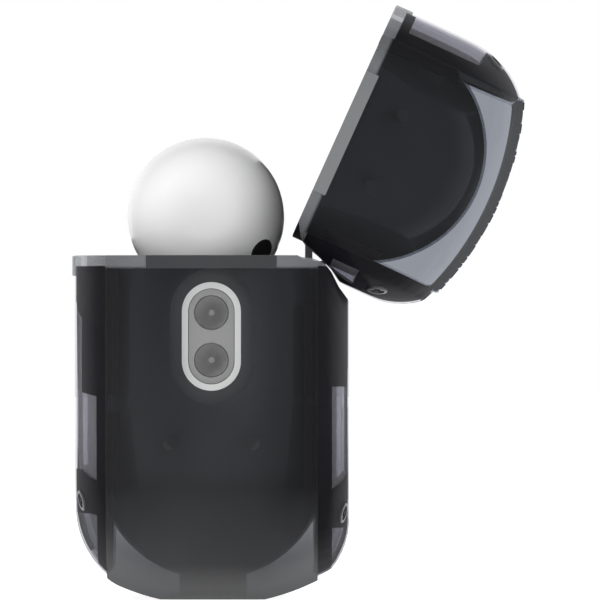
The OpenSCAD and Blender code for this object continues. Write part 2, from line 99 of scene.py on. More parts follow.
# %% The lid's turn
HINGE = next(j for j in RECORD["behaviour"]["joints"] if j["name"] == "lid_hinge")
PIVOT = Vector(HINGE["pos_m"])
OPEN = Matrix.Rotation(math.radians(-HINGE["range_deg"][0]), 4, Vector(HINGE["axis"]))
OPEN_LID = Matrix.Translation(PIVOT) @ OPEN @ Matrix.Translation(-PIVOT)
LID_BODIES = ("case_lid", "lid_cover")
print("the lid stands open by", round(-HINGE["range_deg"][0], 1), "degrees")

# %% [markdown]
# The camera comes early, because every finish is judged through it. It looks at the case's end from far
# away with a very long lens, so that near and far edges almost line up.

# %% Camera
CENTRE_Y = 8.4
CENTRE_Z = 28.75
PLANE_X = 9           # the view is framed in this plane across the cover
FIELD = 57.7          # width of the view in that plane
LENS = 900


def add_camera():
    data = bpy.data.cameras.new("camera")
    data.lens = LENS
    data.clip_start = 0.01
    data.clip_end = 20
    camera = bpy.data.objects.new("camera", data)
    bpy.context.scene.collection.objects.link(camera)
    distance = FIELD * LENS / data.sensor_width
    camera.location = ((PLANE_X + distance) * MM, CENTRE_Y * MM, CENTRE_Z * MM)
    camera.rotation_euler = (math.radians(90), 0, math.radians(90))
    bpy.context.scene.camera = camera
    print("camera stands", round(distance), "mm away")


add_camera()

# %% [markdown]
# Every shell here is one kind of form: a front outline with big round corners, whose edge is rolled over
# towards the front and the back. A section through the edge is a round, so a form needs an outline, a half
# width, and the radii of its roll. inset_at says how far the outline has drawn in at a distance y from the
# middle. Sculpting would also do, but a formula lets every skin, panel and print follow the same surface.

# %% Rounded forms
class Form:
    def __init__(self, half_l, half_w, base, corner, seam, front_roll=None, back_roll=None, belly=None,
                 shoulder=None):
        self.half_l = half_l
        self.half_w = half_w
        self.base = base                          # height of the bottom, or of a lid's top
        self.corner = corner
        self.seam = seam
        self.up = 1 if seam > base else -1
        self.front_roll = front_roll or half_w
        self.back_roll = back_roll or half_w
        self.belly = belly                        # (radius, half width of the flat) of a bowed base
        self.shoulder = shoulder                  # above this height the ends lean in again
        self.run = abs(seam - base) - corner + corner * math.pi / 2 + half_l - corner

    def grown(self, by):
        """The same form with its whole surface moved outwards."""
        return Form(self.half_l + by, self.half_w + by, self.base - self.up * by, self.corner + by, self.seam,
                    self.front_roll + by, self.back_roll + by, self.belly, self.shoulder)

    def lowered(self, by):
        """The same form with a smaller front outline, but as wide from front to back."""
        return Form(self.half_l - by, self.half_w, self.base + self.up * by, self.corner - by, self.seam,
                    self.front_roll, self.back_roll, self.belly)

    def inset_at(self, y, turn):
        """Inset of the outline at y; turn is 0 at the ends and 1 along the base."""
        w = self.half_w
        y = max(-w, min(w, y))
        end = w - math.sqrt(max(0, w * w - y * y))
        roll = self.front_roll if y < 0 else self.back_roll
        past = abs(y) - (w - roll)
        base = roll - math.sqrt(max(0, roll * roll - past * past)) if past > 0 else 0
        if self.belly:
            radius, flat = self.belly
            bow = math.sqrt(radius ** 2 - flat ** 2) - math.sqrt(max(0, radius ** 2 - y * y))
            base = max(base, bow)
        return end + (base - end) * turn

    def outline(self, s):
        """Point, inward normal and turn at s, from 0 at the left end of the seam to 1 at the right."""
        straight = abs(self.seam - self.base) - self.corner
        arc = self.corner * math.pi / 2
        flat = self.half_l - self.corner
        side = -1 if s < 0.5 else 1
        run = (0.5 - abs(s - 0.5)) * 2 * (straight + arc + flat)
        centre = Vector((flat, self.base + self.up * self.corner))
        if run <= straight:
            point, normal, turn = Vector((self.half_l, self.seam - self.up * run)), Vector((-1, 0)), 0
            if self.shoulder and point.y > self.shoulder:
                lean = math.sqrt(self.corner ** 2 - (point.y - self.shoulder) ** 2)
                point.x = self.half_l - self.corner + lean
        elif run <= straight + arc:
            angle = (run - straight) / self.corner
            out = Vector((math.cos(angle), -self.up * math.sin(angle)))
            point, normal, turn = centre + out * self.corner, -out, smooth(angle / (math.pi / 2))
        else:
            left = flat - (run - straight - arc)
            point, normal, turn = Vector((left, self.base)), Vector((0, self.up)), 1
        return Vector((side * point.x, point.y)), Vector((side * normal.x, normal.y)), turn

    def surface(self, s, y, inset=0):
        """Point on the form's surface, or on the one that lies inset inside it."""
        point, normal, turn = self.outline(s)
        scaled = y * self.half_w / (self.half_w - inset)
        point = point + normal * (self.inset_at(scaled, turn) + inset)
        height = point.y
        if (height - self.seam) * self.up > 0:
            height = self.seam
        return Vector((point.x, y, height))

    def depth_at(self, x, z, side, inset=0):
        """The surface's y over a point of the front view, on the front (side -1) or the back (side 1)."""
        dx = abs(x) - (self.half_l - self.corner)
        dz = (self.base + self.up * self.corner - z) * self.up
        if dx > 0 and dz > 0:
            t, turn = self.corner - math.hypot(dx, dz), smooth(math.atan2(dz, dx) / (math.pi / 2))
        elif dx > 0:
            t, turn = self.half_l - abs(x), 0
        elif dz > 0:
            t, turn = (z - self.base) * self.up, 1
        else:
            t, turn = self.half_w, 1
        t -= inset
        low, high = 0.0, self.half_w
        for _ in range(24):
            mid = (low + high) / 2
            if self.inset_at(side * mid, turn) < t:
                low = mid
            else:
                high = mid
        return side * low * (self.half_w - inset) / self.half_w


def smooth(f):
    f = max(0, min(1, f))
    return f * f * (3 - 2 * f)


COVER_BODY = Form(HALF_LENGTH, COVER_HALF_WIDTH, 0, 21, SEAM, 8.5, 7.2, (22.5, 5))
COVER_LID = Form(HALF_LENGTH, COVER_HALF_WIDTH, LID_TOP, 20, SEAM + SEAM_GAP, 8.2, 7, (28.8, 0))
CASE_BODY = Form(CASE_HALF_LENGTH, CASE_HALF_WIDTH, CASE_BASE, 19, SEAM, shoulder=28.4)
CASE_LID = Form(CASE_HALF_LENGTH, CASE_HALF_WIDTH, CASE_TOP, 19, SEAM + SEAM_GAP)
print("half outline of the cover body:", round(COVER_BODY.run, 1), "mm")

# %% [markdown]
# Helpers that finish a piece: the mesh is scaled to metres, a lid piece is turned open, and the object is
# given its body, its material slot and its material. Nothing is left on the object's own transform. The
# drawn coordinates stay on the mesh as an attribute, for finishes that change with the height above the
# table.

# %% Finishing helpers
def place(name, bm, body, material, stands_for=()):
    """Makes an object from a bmesh drawn in millimetres with the lid closed."""
    drawn = [value for vert in bm.verts for value in vert.co]
    bmesh.ops.scale(bm, vec=(MM, MM, MM), verts=bm.verts)
    if body in LID_BODIES:
        bmesh.ops.transform(bm, matrix=OPEN_LID, verts=bm.verts)
    mesh = bpy.data.meshes.new(name)
    bm.to_mesh(mesh)
    bm.free()
    mesh.shade_smooth()
    mesh.set_sharp_from_angle(angle=math.radians(38))
    mesh.attributes.new("at_mm", "FLOAT_VECTOR", "POINT").data.foreach_set("vector", drawn)
    mesh.materials.append(material)
    piece = bpy.data.objects.new(name, mesh)
    bpy.context.scene.collection.objects.link(piece)
    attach(piece, body)
    if stands_for:
        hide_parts(*stands_for)
    print(name, len(mesh.polygons), "faces")


def cut(bm, *cutters, operation="DIFFERENCE"):
    """Takes each cutter's volume out of the mesh, or keeps only what lies in it, with a Boolean modifier."""
    made = []
    closed = all(edge.is_manifold for source in (bm, *cutters) for edge in source.edges)
    for i, source in enumerate([bm, *cutters]):
        mesh = bpy.data.meshes.new(f"work_{i}")
        source.to_mesh(mesh)
        source.free()
        made.append(bpy.data.objects.new(f"work_{i}", mesh))
        bpy.context.scene.collection.objects.link(made[-1])
    for cutter in made[1:]:
        boolean = made[0].modifiers.new("cut", "BOOLEAN")
        boolean.operation = operation
        boolean.solver = "MANIFOLD" if closed else "EXACT"
        boolean.object = cutter
    graph = bpy.context.evaluated_depsgraph_get()
    result = bmesh.new()
    result.from_mesh(made[0].evaluated_get(graph).to_mesh())
    for work in made:
        mesh = work.data
        bpy.data.objects.remove(work)
        bpy.data.meshes.remove(mesh)
    return result


def prism(points, axis, low, high):
    """A closed prism of an outline, drawn in the two other axes, from low to high along axis."""
    bm = bmesh.new()
    verts = []
    for a, b in points:
        where = [a, b]
        where.insert("XYZ".index(axis), low)
        verts.append(bm.verts.new(where))
    face = bm.faces.new(verts)
    grown = bmesh.ops.extrude_face_region(bm, geom=[face])
    shift = [0, 0, 0]
    shift["XYZ".index(axis)] = high - low
    moved = [v for v in grown["geom"] if isinstance(v, bmesh.types.BMVert)]
    bmesh.ops.translate(bm, vec=shift, verts=moved)
    bmesh.ops.recalc_face_normals(bm, faces=bm.faces)
    return bm


def joined(*parts):
    """One bmesh out of several."""
    whole = bmesh.new()
    for part in parts:
        mesh = bpy.data.meshes.new("part")
        part.to_mesh(mesh)
        part.free()
        whole.from_mesh(mesh)
        bpy.data.meshes.remove(mesh)
    return whole


def cad_copy(node, body):
    """The CAD node's mesh in millimetres with the lid closed, its doubled points merged."""
    source = frame["nodes"][node]
    bm = bmesh.new()
    bm.from_mesh(source.data)
    bmesh.ops.transform(bm, matrix=source.matrix_world, verts=bm.verts)
    if body in LID_BODIES:
        bmesh.ops.transform(bm, matrix=OPEN_LID.inverted(), verts=bm.verts)
    bmesh.ops.scale(bm, vec=(1 / MM, 1 / MM, 1 / MM), verts=bm.verts)
    bmesh.ops.remove_doubles(bm, verts=bm.verts, dist=0.0005)
    return bm


def obround(across, tall, centre=(0, 0), steps=16):
    """Outline of a slot with round ends."""
    r = min(across, tall) / 2
    points = []
    for k in range(4 * steps):
        angle = 2 * math.pi * k / (4 * steps)
        x, z = r * math.cos(angle), r * math.sin(angle)
        x += math.copysign(across / 2 - r, x)
        z += math.copysign(tall / 2 - r, z)
        points.append((centre[0] + x, centre[1] + z))
    return points


# %% [markdown]
# Every finish is a node tree, and these helpers keep the trees short: one starts a material, one adds a
# node with its values, one makes a ramp of colours, and two do sums on a surface's values.

# %% Node helpers
def new_material(name):
    material = bpy.data.materials.new(name)
    material.use_nodes = True
    nodes = material.node_tree.nodes
    nodes.clear()
    return material, nodes, material.node_tree.links


def add(nodes, kind, **values):
    node = nodes.new(kind)
    for key, value in values.items():
        if key in node.inputs:
            node.inputs[key].default_value = value
        else:
            setattr(node, key, value)
    return node


def colour_ramp(nodes, stops):
    ramp = nodes.new("ShaderNodeValToRGB")
    elements = ramp.color_ramp.elements
    while len(elements) < len(stops):
        elements.new(0.5)
    for element, (position, colour) in zip(elements, stops):
        element.position = position
        element.color = (*colour, 1)
    return ramp


def grey(v):
    return (v, v, v)


def maths(nodes, links, operation, *values, clamp=True):
    """A Math node fed with numbers or with other nodes' outputs."""
    node = add(nodes, "ShaderNodeMath", operation=operation, use_clamp=clamp)
    for socket, value in zip(node.inputs, values):
        if isinstance(value, (int, float)):
            socket.default_value = value
        else:
            links.new(value, socket)
    return node.outputs[0]


def fade(nodes, links, value, start, end, to=1.0):
    """0 at start, rising to a value at end."""
    node = nodes.new("ShaderNodeMapRange")
    node.inputs["From Min"].default_value = start
    node.inputs["From Max"].default_value = end
    node.inputs["To Max"].default_value = to
    links.new(value, node.inputs["Value"])
    return node.outputs["Result"]


# %% [markdown]
# Smoked clear plastic is moulded with a dark tint. Here it is a thin tinted face that lets light straight
# through, a little cloud over it, and a gloss whose strength follows Fresnel up to a limit. The cloud is also
# made lighter along the seam and towards the rounded bottom and crown: painted light, for the light that the
# thick clear edges catch. True refraction through a dozen walls would only go black, and this keeps the
# inside readable.

# %% Smoked clear plastic
def clear_plastic(name, clear, haze, roughness=0.06, ripple=0.1, murk=0.0, rim=0.0, low=0.0, gloss=0.1):
    """Tinted clear plastic. clear lists the colours it lets through from the cover's bottom to its top, and
    haze is the colour of its cloud. murk is the cloudy share everywhere. rim and low are painted light:
    lighter cloud added at the seam and towards the rounded bottom, and a quarter of low towards the top."""
    material, nodes, links = new_material(name)
    where = add(nodes, "ShaderNodeTexCoord")
    stretch = add(nodes, "ShaderNodeMapping", Scale=(0.6, 1.0, 0.25))
    noise = add(nodes, "ShaderNodeTexNoise", Scale=90.0, Detail=2.0)
    links.new(where.outputs["Object"], stretch.inputs["Vector"])
    links.new(stretch.outputs["Vector"], noise.inputs["Vector"])
    bump = add(nodes, "ShaderNodeBump", Strength=ripple, Distance=0.002)
    links.new(noise.outputs["Fac"], bump.inputs["Height"])
    drawn = add(nodes, "ShaderNodeAttribute", attribute_name="at_mm")
    parts = nodes.new("ShaderNodeSeparateXYZ")
    links.new(drawn.outputs["Vector"], parts.inputs[0])
    height = parts.outputs["Z"]
    from_seam = maths(nodes, links, "SUBTRACT", height, SEAM, clamp=False)
    from_seam = maths(nodes, links, "ABSOLUTE", from_seam, clamp=False)
    cloud_and_painted_light = murk
    # painted light: the first three shares lighten the cloud at the seam, the bottom and the crown; the noise
    # share is the plastic's own cloudiness
    for share in (fade(nodes, links, from_seam, 1.3, 1.0, rim),
                  fade(nodes, links, height, 11, 0.5, low),
                  fade(nodes, links, height, LID_TOP - 4, LID_TOP, low / 4),
                  fade(nodes, links, noise.outputs["Fac"], 0.5, 0.75, murk)):
        cloud_and_painted_light = maths(nodes, links, "ADD", share, cloud_and_painted_light)
    tint = colour_ramp(nodes, [(k / (len(clear) - 1), colour) for k, colour in enumerate(clear)])
    links.new(fade(nodes, links, height, 0, LID_TOP), tint.inputs["Fac"])
    see = add(nodes, "ShaderNodeBsdfTransparent")
    links.new(tint.outputs["Color"], see.inputs["Color"])
    mist = add(nodes, "ShaderNodeBsdfDiffuse", Color=(*haze, 1))
    shine = add(nodes, "ShaderNodeBsdfGlossy", Roughness=roughness)
    links.new(bump.outputs["Normal"], shine.inputs["Normal"])
    fresnel = add(nodes, "ShaderNodeFresnel", IOR=1.35)
    body = nodes.new("ShaderNodeMixShader")
    links.new(cloud_and_painted_light, body.inputs["Fac"])
    links.new(see.outputs[0], body.inputs[1])
    links.new(mist.outputs[0], body.inputs[2])
    face = nodes.new("ShaderNodeMixShader")
    links.new(maths(nodes, links, "MINIMUM", fresnel.outputs[0], gloss), face.inputs["Fac"])
    links.new(body.outputs[0], face.inputs[1])
    links.new(shine.outputs[0], face.inputs[2])
    out = nodes.new("ShaderNodeOutputMaterial")
    links.new(face.outputs[0], out.inputs["Surface"])
    return material


# rim and low paint light into the smoked shell: a lighter band along the seam and lighter haze towards the
# bottom and the crown
SMOKED = clear_plastic("smoked_clear_plastic",
                       [(0.10, 0.105, 0.11), (0.60, 0.61, 0.63), (0.62, 0.63, 0.65), (0.56, 0.58, 0.61),
                        (0.54, 0.56, 0.60)], (0.5, 0.51, 0.53),
                       roughness=0.05, ripple=0.2, murk=0.014, rim=0.2, low=0.07, gloss=0.07)
PANEL = clear_plastic("clear_panel_plastic", [(0.58, 0.58, 0.60)] + [(0.88, 0.88, 0.90)] * 3,
                      (0.5, 0.5, 0.52), murk=0.002, gloss=0.03)
# low paints light into the windows: their haze grows towards the bottom
WINDOW = clear_plastic("frosted_window_plastic", [(0.80, 0.80, 0.83)] * 2, (0.45, 0.45, 0.47),
                       roughness=0.2, murk=0.1, low=0.1, gloss=0.05)
RIM = clear_plastic("clear_rim_plastic", [(0.72, 0.73, 0.75)] * 2, (0.5, 0.5, 0.52), murk=0.15, gloss=0.3)
BLUE_CLEAR = clear_plastic("bluish_clear_plastic", [(0.05, 0.09, 0.2)] * 2, (0.02, 0.05, 0.12),
                           roughness=0.08, ripple=0.2, murk=0.25, gloss=0.04)
print(len(bpy.data.materials), "clear finishes")

# %% [markdown]
# Moulded plastic, turned metal and silicone differ in colour, shine and grain, so one function with those
# as its values makes them all. The grain is fine noise in the shine and the relief, and the colour drifts
# slowly.

# %% Solid plastics, metals and rubbers
def solid(name, colour, roughness, metallic=0.0, variation=0.12, grain=600.0, bump=0.05, coat=0.0,
          gloss=0.5):
    """A moulded or machined finish with fine grain, slight colour drift and a varied shine."""
    material, nodes, links = new_material(name)
    where = add(nodes, "ShaderNodeTexCoord")
    fine = add(nodes, "ShaderNodeTexNoise", Scale=grain, Detail=3.0)
    broad = add(nodes, "ShaderNodeTexNoise", Scale=60.0, Detail=2.0)
    for texture in (fine, broad):
        links.new(where.outputs["Object"], texture.inputs["Vector"])
    low = tuple(max(0, c * (1 - variation)) for c in colour)
    high = tuple(min(1, c * (1 + variation)) for c in colour)
    tint = colour_ramp(nodes, [(0.3, low), (0.7, high)])
    links.new(broad.outputs["Fac"], tint.inputs["Fac"])
    shine = nodes.new("ShaderNodeMapRange")
    shine.inputs["To Min"].default_value = max(0.02, roughness - 0.06)
    shine.inputs["To Max"].default_value = min(1, roughness + 0.06)
    links.new(fine.outputs["Fac"], shine.inputs["Value"])
    relief = add(nodes, "ShaderNodeBump", Strength=bump, Distance=0.00003)
    links.new(fine.outputs["Fac"], relief.inputs["Height"])
    surface = add(nodes, "ShaderNodeBsdfPrincipled", Metallic=metallic)
    surface.inputs["Specular IOR Level"].default_value = gloss
    surface.inputs["Coat Weight"].default_value = coat
    surface.inputs["Coat Roughness"].default_value = 0.05
    links.new(tint.outputs["Color"], surface.inputs["Base Color"])
    links.new(shine.outputs["Result"], surface.inputs["Roughness"])
    links.new(relief.outputs["Normal"], surface.inputs["Normal"])
    out = nodes.new("ShaderNodeOutputMaterial")
    links.new(surface.outputs[0], out.inputs["Surface"])
    return material


CASE_GREY = solid("moulded_case_grey", (0.050, 0.052, 0.055), 0.45, bump=0.005, gloss=0.2)
CRADLE = solid("cradle_black", (0.018, 0.018, 0.02), 0.45)
PRINT = solid("black_print", (0.007, 0.0065, 0.009), 0.5, variation=0.3, bump=0.01, gloss=0.06)
WHITE = solid("glossy_bud_white", (0.86, 0.86, 0.86), 0.16, variation=0.015, grain=900, bump=0.01, coat=0.8)
SILICONE = solid("white_silicone", (0.80, 0.80, 0.80), 0.5, variation=0.02, bump=0.02)
STEEL = solid("plain_steel", (0.55, 0.55, 0.57), 0.28, metallic=1.0, bump=0.04)
RING = solid("satin_ring_metal", (0.80, 0.81, 0.80), 0.45, metallic=0.5, variation=0.04, bump=0.03)
PLATE = solid("satin_plate_metal", (0.42, 0.42, 0.42), 0.5, metallic=0.6, variation=0.04, bump=0.03)
CUP = solid("turned_dimple_metal", (0.6, 0.6, 0.6), 0.35, metallic=0.6, variation=0.04, bump=0.02)
SCREW = solid("dark_screw_metal", (0.22, 0.22, 0.23), 0.3, metallic=0.8, bump=0.03)
GOLD = solid("gold_contact", (0.83, 0.60, 0.24), 0.25, metallic=1.0)
COPPER = solid("copper_winding", (0.72, 0.35, 0.20), 0.4, metallic=1.0)
BOARD = solid("circuit_board", (0.01, 0.09, 0.04), 0.4)
BLACK = solid("black_plastic", (0.01, 0.01, 0.01), 0.5)
NAVY = solid("navy_blocks", (0.012, 0.024, 0.055), 0.45, variation=0.9, gloss=0.08)
PAD = solid("dark_seam_pad", (0.035, 0.037, 0.04), 0.5, variation=0.1)
# painted light: the lid's seam pads are the same pads as the body's, given a lighter colour because the lid
# looks lighter overall
LIT_PAD_PAINTED = solid("seam_pad_painted_lighter", (0.15, 0.155, 0.16), 0.5, variation=0.1)
LENS = solid("milky_lens", (0.8, 0.8, 0.8), 0.3, variation=0.02)
BUMPER = solid("clear_bumper", (0.02, 0.02, 0.022), 0.4)
print(len(bpy.data.materials), "finishes so far")

# %% [markdown]
# The vents and microphones of the earbuds are covered by a woven black mesh. Its holes are too small to
# model, so a regular cell texture sinks them and paints them darker: painted shade inside the holes.

# %% Acoustic mesh
def mesh_material():
    """Black acoustic mesh: a fine grid of holes in a dull black sheet."""
    material, nodes, links = new_material("acoustic_mesh")
    where = add(nodes, "ShaderNodeTexCoord")
    holes = add(nodes, "ShaderNodeTexVoronoi", Scale=4200.0, Randomness=0.1)
    links.new(where.outputs["Object"], holes.inputs["Vector"])
    # painted shade: the middles of the cells are darker, for the shade inside the holes
    tint = colour_ramp(nodes, [(0.25, grey(0.002)), (0.5, grey(0.02))])
    links.new(holes.outputs["Distance"], tint.inputs["Fac"])
    relief = add(nodes, "ShaderNodeBump", Strength=0.6, Distance=0.0001)
    links.new(holes.outputs["Distance"], relief.inputs["Height"])
    surface = add(nodes, "ShaderNodeBsdfPrincipled", Roughness=0.65)
    links.new(tint.outputs["Color"], surface.inputs["Base Color"])
    links.new(relief.outputs["Normal"], surface.inputs["Normal"])
    out = nodes.new("ShaderNodeOutputMaterial")
    links.new(surface.outputs[0], out.inputs["Surface"])
    return material


MESH = mesh_material()
print(MESH.name, "has", len(MESH.node_tree.nodes), "nodes")

# %% [markdown]
# A skin is made flat first: one grid of squares, as wide as the outline is long. Each of its points is then
# moved to the form's surface. Rows run from the front to the back, and may step inwards where a panel will
# lie.

# %% Skins
def rows(reach, step_at=None, step=0.0, count=36):
    """Rows of a skin as (y, inset) pairs, closer together towards the rolled edges."""
    found = []
    for k in range(count + 1):
        y = reach * math.sin(math.pi * (k / count - 0.5))
        found.append((y, step if step_at and abs(y) > step_at else 0.0))
    if step_at:
        for side in (-1, 1):
            found += [(side * step_at, 0.0), (side * (step_at + 0.01), step)]
        found.sort()
    return found


def skin(form, row_list, along=96):
    """An open skin over the form, closed front and back by flat faces."""
    bm = bmesh.new()
    bmesh.ops.create_grid(bm, x_segments=along, y_segments=len(row_list) - 1, size=1)
    bm.verts.ensure_lookup_table()
    last = len(row_list) - 1
    edge_front, edge_back = [], []
    for vert in bm.verts:
        s = (vert.co.x + 1) / 2
        row = round((vert.co.y + 1) / 2 * last)
        y, inset = row_list[row]
        vert.co = form.surface(s, y, inset)
        if row in (0, last):
            (edge_front if row == 0 else edge_back).append((s, vert))
    for edge in (edge_front, edge_back):
        bm.faces.new([vert for _, vert in sorted(edge, key=lambda pair: pair[0])])
    bmesh.ops.remove_doubles(bm, verts=bm.verts, dist=0.0005)
    bmesh.ops.recalc_face_normals(bm, faces=bm.faces)
    middle = Vector((0, 0, (form.seam + form.base) / 2))
    outward = sum((f.calc_center_median() - middle).dot(f.normal) for f in bm.faces)
    if outward < 0:
        bmesh.ops.reverse_faces(bm, faces=bm.faces)
    return bm


def shell(outer, inner):
    """A wall between two open skins, joined round the rim."""
    bmesh.ops.reverse_faces(inner, faces=inner.faces)
    wall = joined(outer, inner)
    rims = [edge for edge in wall.edges if edge.is_boundary]
    bmesh.ops.bridge_loops(wall, edges=rims)
    bmesh.ops.recalc_face_normals(wall, faces=wall.faces)
    return wall


def solid_form(form, width):
    """The form as a closed solid."""
    bm = skin(form, rows(width))
    bmesh.ops.edgeloop_fill(bm, edges=[edge for edge in bm.edges if edge.is_boundary])
    bmesh.ops.recalc_face_normals(bm, faces=bm.faces)
    return bm


def patch(form, along, y_range, inset, thickness, cells=(8, 4)):
    """A curved sheet on the form, between two distances along the outline from the middle of its base."""
    bm = bmesh.new()
    bmesh.ops.create_grid(bm, x_segments=cells[0], y_segments=cells[1], size=1)
    for vert in bm.verts:
        across = along[0] + (along[1] - along[0]) * (vert.co.x + 1) / 2
        y = y_range[0] + (y_range[1] - y_range[0]) * (vert.co.y + 1) / 2
        vert.co = form.surface(0.5 + across / form.run / 2, y, inset)
    bm.normal_update()
    middle = Vector((0, 0, (form.seam + form.base) / 2))
    outward = sum((face.calc_center_median() - middle).dot(face.normal) for face in bm.faces)
    if outward < 0:
        bmesh.ops.reverse_faces(bm, faces=bm.faces)
    bmesh.ops.solidify(bm, geom=bm.faces[:], thickness=thickness)
    bmesh.ops.recalc_face_normals(bm, faces=bm.faces)
    return bm


# %% [markdown]
# The lower half of the cover. Its clear band runs round the ends and the bottom at full height, and under
# the two panels the shell steps in by the panel's depth. The inner skin follows the case with a small gap.
# The openings are cut last: the notch at the hinge, the lanyard and charging windows, the button window,
# and a shallow one at each end for the seam pads.

# %% Cover body shell
def hinge_relief():
    """The notch behind the hinge, cut from the body."""
    low = [(8.17, 1), (8.17, -0.1), (9.64, -0.3), (10.4, -0.6), (10.9, -0.95), (11.4, -1.6), (12.1, -3),
           (13.2, -4.5), (15, -4.5), (15, 1)]
    return prism([(y, SEAM + n) for y, n in low], "X", -BEYOND, BEYOND)


def lid_relief():
    """The same notch, cut from the closed lid."""
    high = [(9.3, -1), (9.3, 0.1), (10.67, 0.93), (11.1, 1.66), (11.6, 3.35), (12.2, 4.9), (12.95, 6.1),
            (13.3, 8), (15, 8), (15, -1)]
    return prism([(y, SEAM + n) for y, n in high], "X", -BEYOND, BEYOND)


LOOP_Z = 25.3         # height of the lanyard loop's middle
BUTTON_Z = 14
PAD_HALF = 6.25       # half width of a seam pad


def circle(r, centre, steps=48):
    points = []
    for k in range(steps):
        angle = 2 * math.pi * k / steps
        points.append((centre[0] + r * math.cos(angle), centre[1] + r * math.sin(angle)))
    return points


def box_at(y, z, x):
    """A plain block between two values of y, two of z and two of x."""
    return prism([(y[0], z[0]), (y[1], z[0]), (y[1], z[1]), (y[0], z[1])], "X", *x)


def button_window():
    return prism(circle(4.5, (0, BUTTON_Z)), "Y", 8, 20)


def make_cover_body():
    outer = skin(COVER_BODY, rows(COVER_HALF_WIDTH - PANEL_DEPTH, BAND, PANEL_DEPTH))
    inner = skin(CASE_BODY.grown(CASE_GAP), rows(CASE_HALF_WIDTH + CASE_GAP))
    wall = shell(outer, inner)
    pads = [box_at((-PAD_HALF, PAD_HALF), (SEAM - 1.3, SEAM + 1), x)
            for x in ((31.2, BEYOND), (-BEYOND, -31.2))]
    wall = cut(wall, hinge_relief(), prism(obround(8, 12.9, (0.1, LOOP_Z)), "X", 22, BEYOND), button_window(),
               prism(obround(13, 6.5), "Z", -3, 6), *pads)
    place("cover_body_clear_shell", wall, "cover_body", SMOKED, ["cover_body_shell"])


make_cover_body()

# %% [markdown]
# The upper half is made in the same way, but upside down: its form grows from the seam to the crown. A
# shallow pocket along the crown takes the coloured strip.

# %% Cover lid shell
STRIP_X = 13.9
STRIP_Y = 10.0


def make_cover_lid():
    outer = skin(COVER_LID, rows(COVER_HALF_WIDTH - PANEL_DEPTH, BAND, PANEL_DEPTH))
    inner = skin(CASE_LID.grown(CASE_GAP), rows(CASE_HALF_WIDTH + CASE_GAP))
    wall = shell(outer, inner)
    side, depth = STRIP_X + 0.1, STRIP_Y + 0.05
    pocket = patch(COVER_LID, (-side, side), (-depth, depth), -0.3, 1.1, (16, 40))
    wall = cut(wall, lid_relief(), pocket)
    place("cover_lid_clear_shell", wall, "lid_cover", SMOKED, ["cover_lid_shell"])


make_cover_lid()

# %% [markdown]
# Behind each of the two holes in the lanyard plate is a turned metal dimple that narrows inwards. An open
# cone with a small flat end, thickened, is enough: only its inside is seen.

# %% Dimples behind the lanyard holes
def make_cups():
    cups = []
    for height in (LOOP_Z + 2.25, LOOP_Z - 2.25):
        cup = bmesh.new()
        bmesh.ops.create_cone(cup, cap_ends=False, segments=48, radius1=1.64, radius2=0.35, depth=2.6)
        narrow = [edge for edge in cup.edges if edge.is_boundary and edge.verts[0].co.z > 0]
        bmesh.ops.holes_fill(cup, edges=narrow)
        bmesh.ops.recalc_face_normals(cup, faces=cup.faces)
        bmesh.ops.solidify(cup, geom=cup.faces[:], thickness=0.12)
        bmesh.ops.rotate(cup, matrix=Matrix.Rotation(math.radians(-90), 3, "Y"), verts=cup.verts)
        bmesh.ops.translate(cup, vec=(27.2, 0, height), verts=cup.verts)
        cups.append(cup)
    place("lanyard_hole_dimples", joined(*cups), "case", CUP)


make_cups()

# %% [markdown]
# Along the seam the clear plastic keeps its full depth as a narrow rim above the panels. It is an obround
# ring with its middle taken away. In the middle of the front each half has a thin lip for a fingertip.

# %% Rims and finger lips
def block(low, high, bevel=0.0):
    bm = bmesh.new()
    bmesh.ops.create_cube(bm, size=1)
    size = [b - a for a, b in zip(low, high)]
    bmesh.ops.scale(bm, vec=size, verts=bm.verts)
    bmesh.ops.translate(bm, vec=[(a + b) / 2 for a, b in zip(low, high)], verts=bm.verts)
    if bevel:
        bmesh.ops.bevel(bm, geom=bm.edges[:], offset=bevel, offset_type="OFFSET", affect="EDGES", segments=3,
                        profile=0.5, material=-1)
    return bm


def make_rim(body, half_l, low, high, lip_low, lip_high, relief):
    full = 2 * COVER_HALF_WIDTH
    ring = cut(prism(obround(2 * half_l, full, steps=32), "Z", low, high),
               prism(obround(2 * (half_l - PANEL_DEPTH) + 0.1, full - 2 * PANEL_DEPTH + 0.1, steps=32), "Z",
                     low - 1, high + 1),
               block((-BEYOND, -BAND, low - 1), (BEYOND, BAND, high + 1)))
    ring = cut(ring, relief())
    lip = block((-9, -13.5, lip_low), (9, -13.15, lip_high), bevel=0.12)
    root = block((-8.9, -13.3, low + 0.05), (8.9, -12.9, high - 0.05))
    place(f"{body}_clear_rim", joined(ring, lip, root), body, RIM)


make_rim("cover_body", HALF_LENGTH, SEAM - 1, SEAM, SEAM - 1.93, SEAM, hinge_relief)
make_rim("lid_cover", HALF_LENGTH - 0.3, SEAM + SEAM_GAP, SEAM + 1.35, SEAM + SEAM_GAP, SEAM + 1.93,
         lid_relief)

# %% [markdown]
# The case itself has two thin shells of the same sort, with an even wall. The body's shell gets a round
# relief about the hinge pin, a notch for the hinge leaf, and holes for the loop, the button, the port and
# the lens.

# %% Case shells
def case_shell(form):
    """An even wall on one of the case's forms."""
    inside = skin(form.grown(-CASE_WALL), rows(CASE_HALF_WIDTH - CASE_WALL))
    return shell(skin(form, rows(CASE_HALF_WIDTH)), inside)


